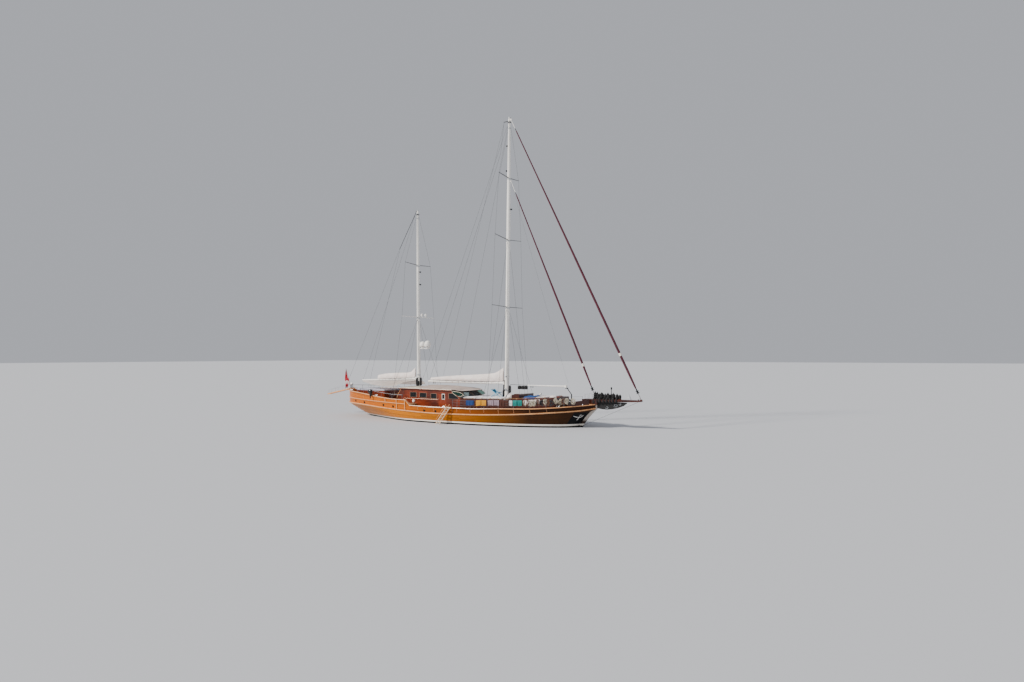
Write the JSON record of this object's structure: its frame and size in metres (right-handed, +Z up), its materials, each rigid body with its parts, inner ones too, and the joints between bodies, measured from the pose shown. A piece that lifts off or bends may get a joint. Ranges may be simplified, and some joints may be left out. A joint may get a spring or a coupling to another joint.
{
  "type": "two-masted wooden sailing yacht",
  "caption": "Wooden ketch-rigged motor-sailer with clipper bow, raised quarter deck, deckhouse, furled headsails and sails stowed under covers on their booms.",
  "frame": {"origin": "on the centreline at the waterline, amidships", "axes": "+X towards the bow, +Y to port, +Z up"},
  "size_m": [38.15, 9.0803, 33.35],
  "materials": {
    "hull_varnish": "varnished iroko planking",
    "bottom_paint": "matt antifouling paint",
    "rail_paint": "semi-gloss enamel",
    "teak": "bare teak",
    "mahogany": "varnished mahogany",
    "white_paint": "gloss white paint",
    "navy_paint": "gloss navy paint",
    "cream_cloth": "acrylic canvas",
    "maroon_cloth": "acrylic sailcloth",
    "blue_cloth": "cotton and canvas",
    "yellow_cloth": "cotton towelling",
    "grey_cloth": "cotton towelling",
    "teal_cloth": "cotton towelling",
    "white_cloth": "vinyl-coated cushion cloth",
    "black_cloth": "knitted fender socks",
    "black_plastic": "moulded cowling",
    "stainless": "polished stainless steel",
    "dark_iron": "painted cast iron",
    "bronze": "cast propeller bronze",
    "glass": "tinted safety glass"
  },
  "bodies": {
    "hull": {"hull": "hull_varnish", "bulwark": "hull_varnish", "cap_rail": "rail_paint", "side_rails": "rail_paint", "main_deck": "teak", "quarter_deck": "teak", "keel": "bottom_paint", "stem_post": "hull_varnish", "head_knee": "navy_paint", "washboard_starboard": "mahogany", "washboard_port": "mahogany", "covered_fenders": "black_cloth", "windlass": "dark_iron", "coachroof": "mahogany", "mattress_aft": "white_cloth", "mattress_fore": "white_cloth", "blue_cover": "blue_cloth", "deckhouse_side_starboard": "mahogany", "deckhouse_side_port": "mahogany", "deckhouse_aft": "mahogany", "deckhouse_roof": "white_paint", "windscreen_frame": "mahogany", "windscreen_glass": "glass", "helm_console": "mahogany", "staysail_boom_post": "dark_iron", "roof_canopy": "cream_cloth", "main_shrouds": "stainless", "mizzen_shrouds": "stainless", "bowsprit": "mahogany", "main_mast": "white_paint", "mizzen_mast": "white_paint", "lifelines_port": "stainless", "lifelines_starboard": "stainless", "stern_rail": "stainless", "cloth_blue": "blue_cloth", "cloth_yellow": "yellow_cloth", "cloth_grey": "grey_cloth", "cloth_teal": "teal_cloth", "flagstaff": "mahogany", "outboard_motor": "black_plastic", "sunbed_base": "mahogany", "sunbed_cushion": "white_cloth", "aft_table": "teak", "aft_awning": "cream_cloth"},
    "rudder": {"rudder": "bottom_paint"},
    "propeller": {"propeller": "bronze"},
    "hatch_lid": {"hatch_lid": "teak"},
    "windlass_drums": {"windlass_drums": "stainless"},
    "companion_door": {"companion_door": "mahogany"},
    "side_door": {"side_door": "mahogany"},
    "helm_wheel": {"helm_wheel": "mahogany"},
    "main_boom": {"main_boom": "white_paint", "main_sail_cover": "cream_cloth"},
    "mizzen_boom": {"mizzen_boom": "white_paint", "mizzen_sail_cover": "cream_cloth"},
    "staysail_boom": {"staysail_boom": "white_paint"},
    "furled_jib": {"furled_jib": "maroon_cloth"},
    "furled_staysail": {"furled_staysail": "maroon_cloth"},
    "boarding_ladder": {"boarding_ladder": "rail_paint"},
    "passerelle": {"passerelle": "rail_paint"}
  },
  "joints": [
    {"name": "rudder_turn", "type": "hinge", "parent": "hull", "child": "rudder", "pos_m": [-11.75, 0, -1.5], "axis": [0, 0, 1], "range_deg": [-35, 35]},
    {"name": "propeller_turn", "type": "hinge", "parent": "hull", "child": "propeller", "pos_m": [-11.2, 0, -1.45], "axis": [1, 0, 0], "continuous": true},
    {"name": "hatch_open", "type": "hinge", "parent": "hull", "child": "hatch_lid", "pos_m": [12.2805, 0, 1.732], "axis": [0, 1, 0], "range_deg": [0, 85]},
    {"name": "windlass_turn", "type": "hinge", "parent": "hull", "child": "windlass_drums", "pos_m": [12.95, 0, 1.95412], "axis": [0, 1, 0], "continuous": true},
    {"name": "companion_open", "type": "hinge", "parent": "hull", "child": "companion_door", "pos_m": [-6.38, -0.35, 2.4], "axis": [0, 0, 1], "range_deg": [0, 100]},
    {"name": "side_door_open", "type": "hinge", "parent": "hull", "child": "side_door", "pos_m": [-0.5, -2.2, 2], "axis": [0, 0, 1], "range_deg": [0, 100]},
    {"name": "helm_turn", "type": "hinge", "parent": "hull", "child": "helm_wheel", "pos_m": [-0.25, 0, 2.01], "axis": [1, 0, 0], "range_deg": [-540, 540]},
    {"name": "main_boom_swing", "type": "hinge", "parent": "hull", "child": "main_boom", "pos_m": [5, 0, 3.93], "axis": [0, 0, 1], "range_deg": [-75, 75]},
    {"name": "mizzen_boom_swing", "type": "hinge", "parent": "hull", "child": "mizzen_boom", "pos_m": [-6.05, 0, 4.18], "axis": [0, 0, 1], "range_deg": [-60, 60]},
    {"name": "staysail_boom_swing", "type": "hinge", "parent": "hull", "child": "staysail_boom", "pos_m": [11.83, 0, 3.75], "axis": [0, 0, 1], "range_deg": [-40, 40]},
    {"name": "jib_furl", "type": "hinge", "parent": "hull", "child": "furled_jib", "pos_m": [18.96, 0, 3.28], "axis": [-0.4384, 0, 0.8988], "continuous": true},
    {"name": "staysail_furl", "type": "hinge", "parent": "hull", "child": "furled_staysail", "pos_m": [14.58, 0, 3.45], "axis": [-0.3917, 0, 0.9201], "continuous": true},
    {"name": "ladder_lift", "type": "hinge", "parent": "hull", "child": "boarding_ladder", "pos_m": [1.3, -4.37, 1.66], "axis": [-1, 0, 0], "range_deg": [0, 80]},
    {"name": "passerelle_lift", "type": "hinge", "parent": "hull", "child": "passerelle", "pos_m": [-15.15, 0, 2.95], "axis": [0, 1, 0], "range_deg": [0, 75]}
  ],
  "couplings": [
    {"joint": "helm_turn", "follows": "rudder_turn", "ratio": 15.4}
  ]
}
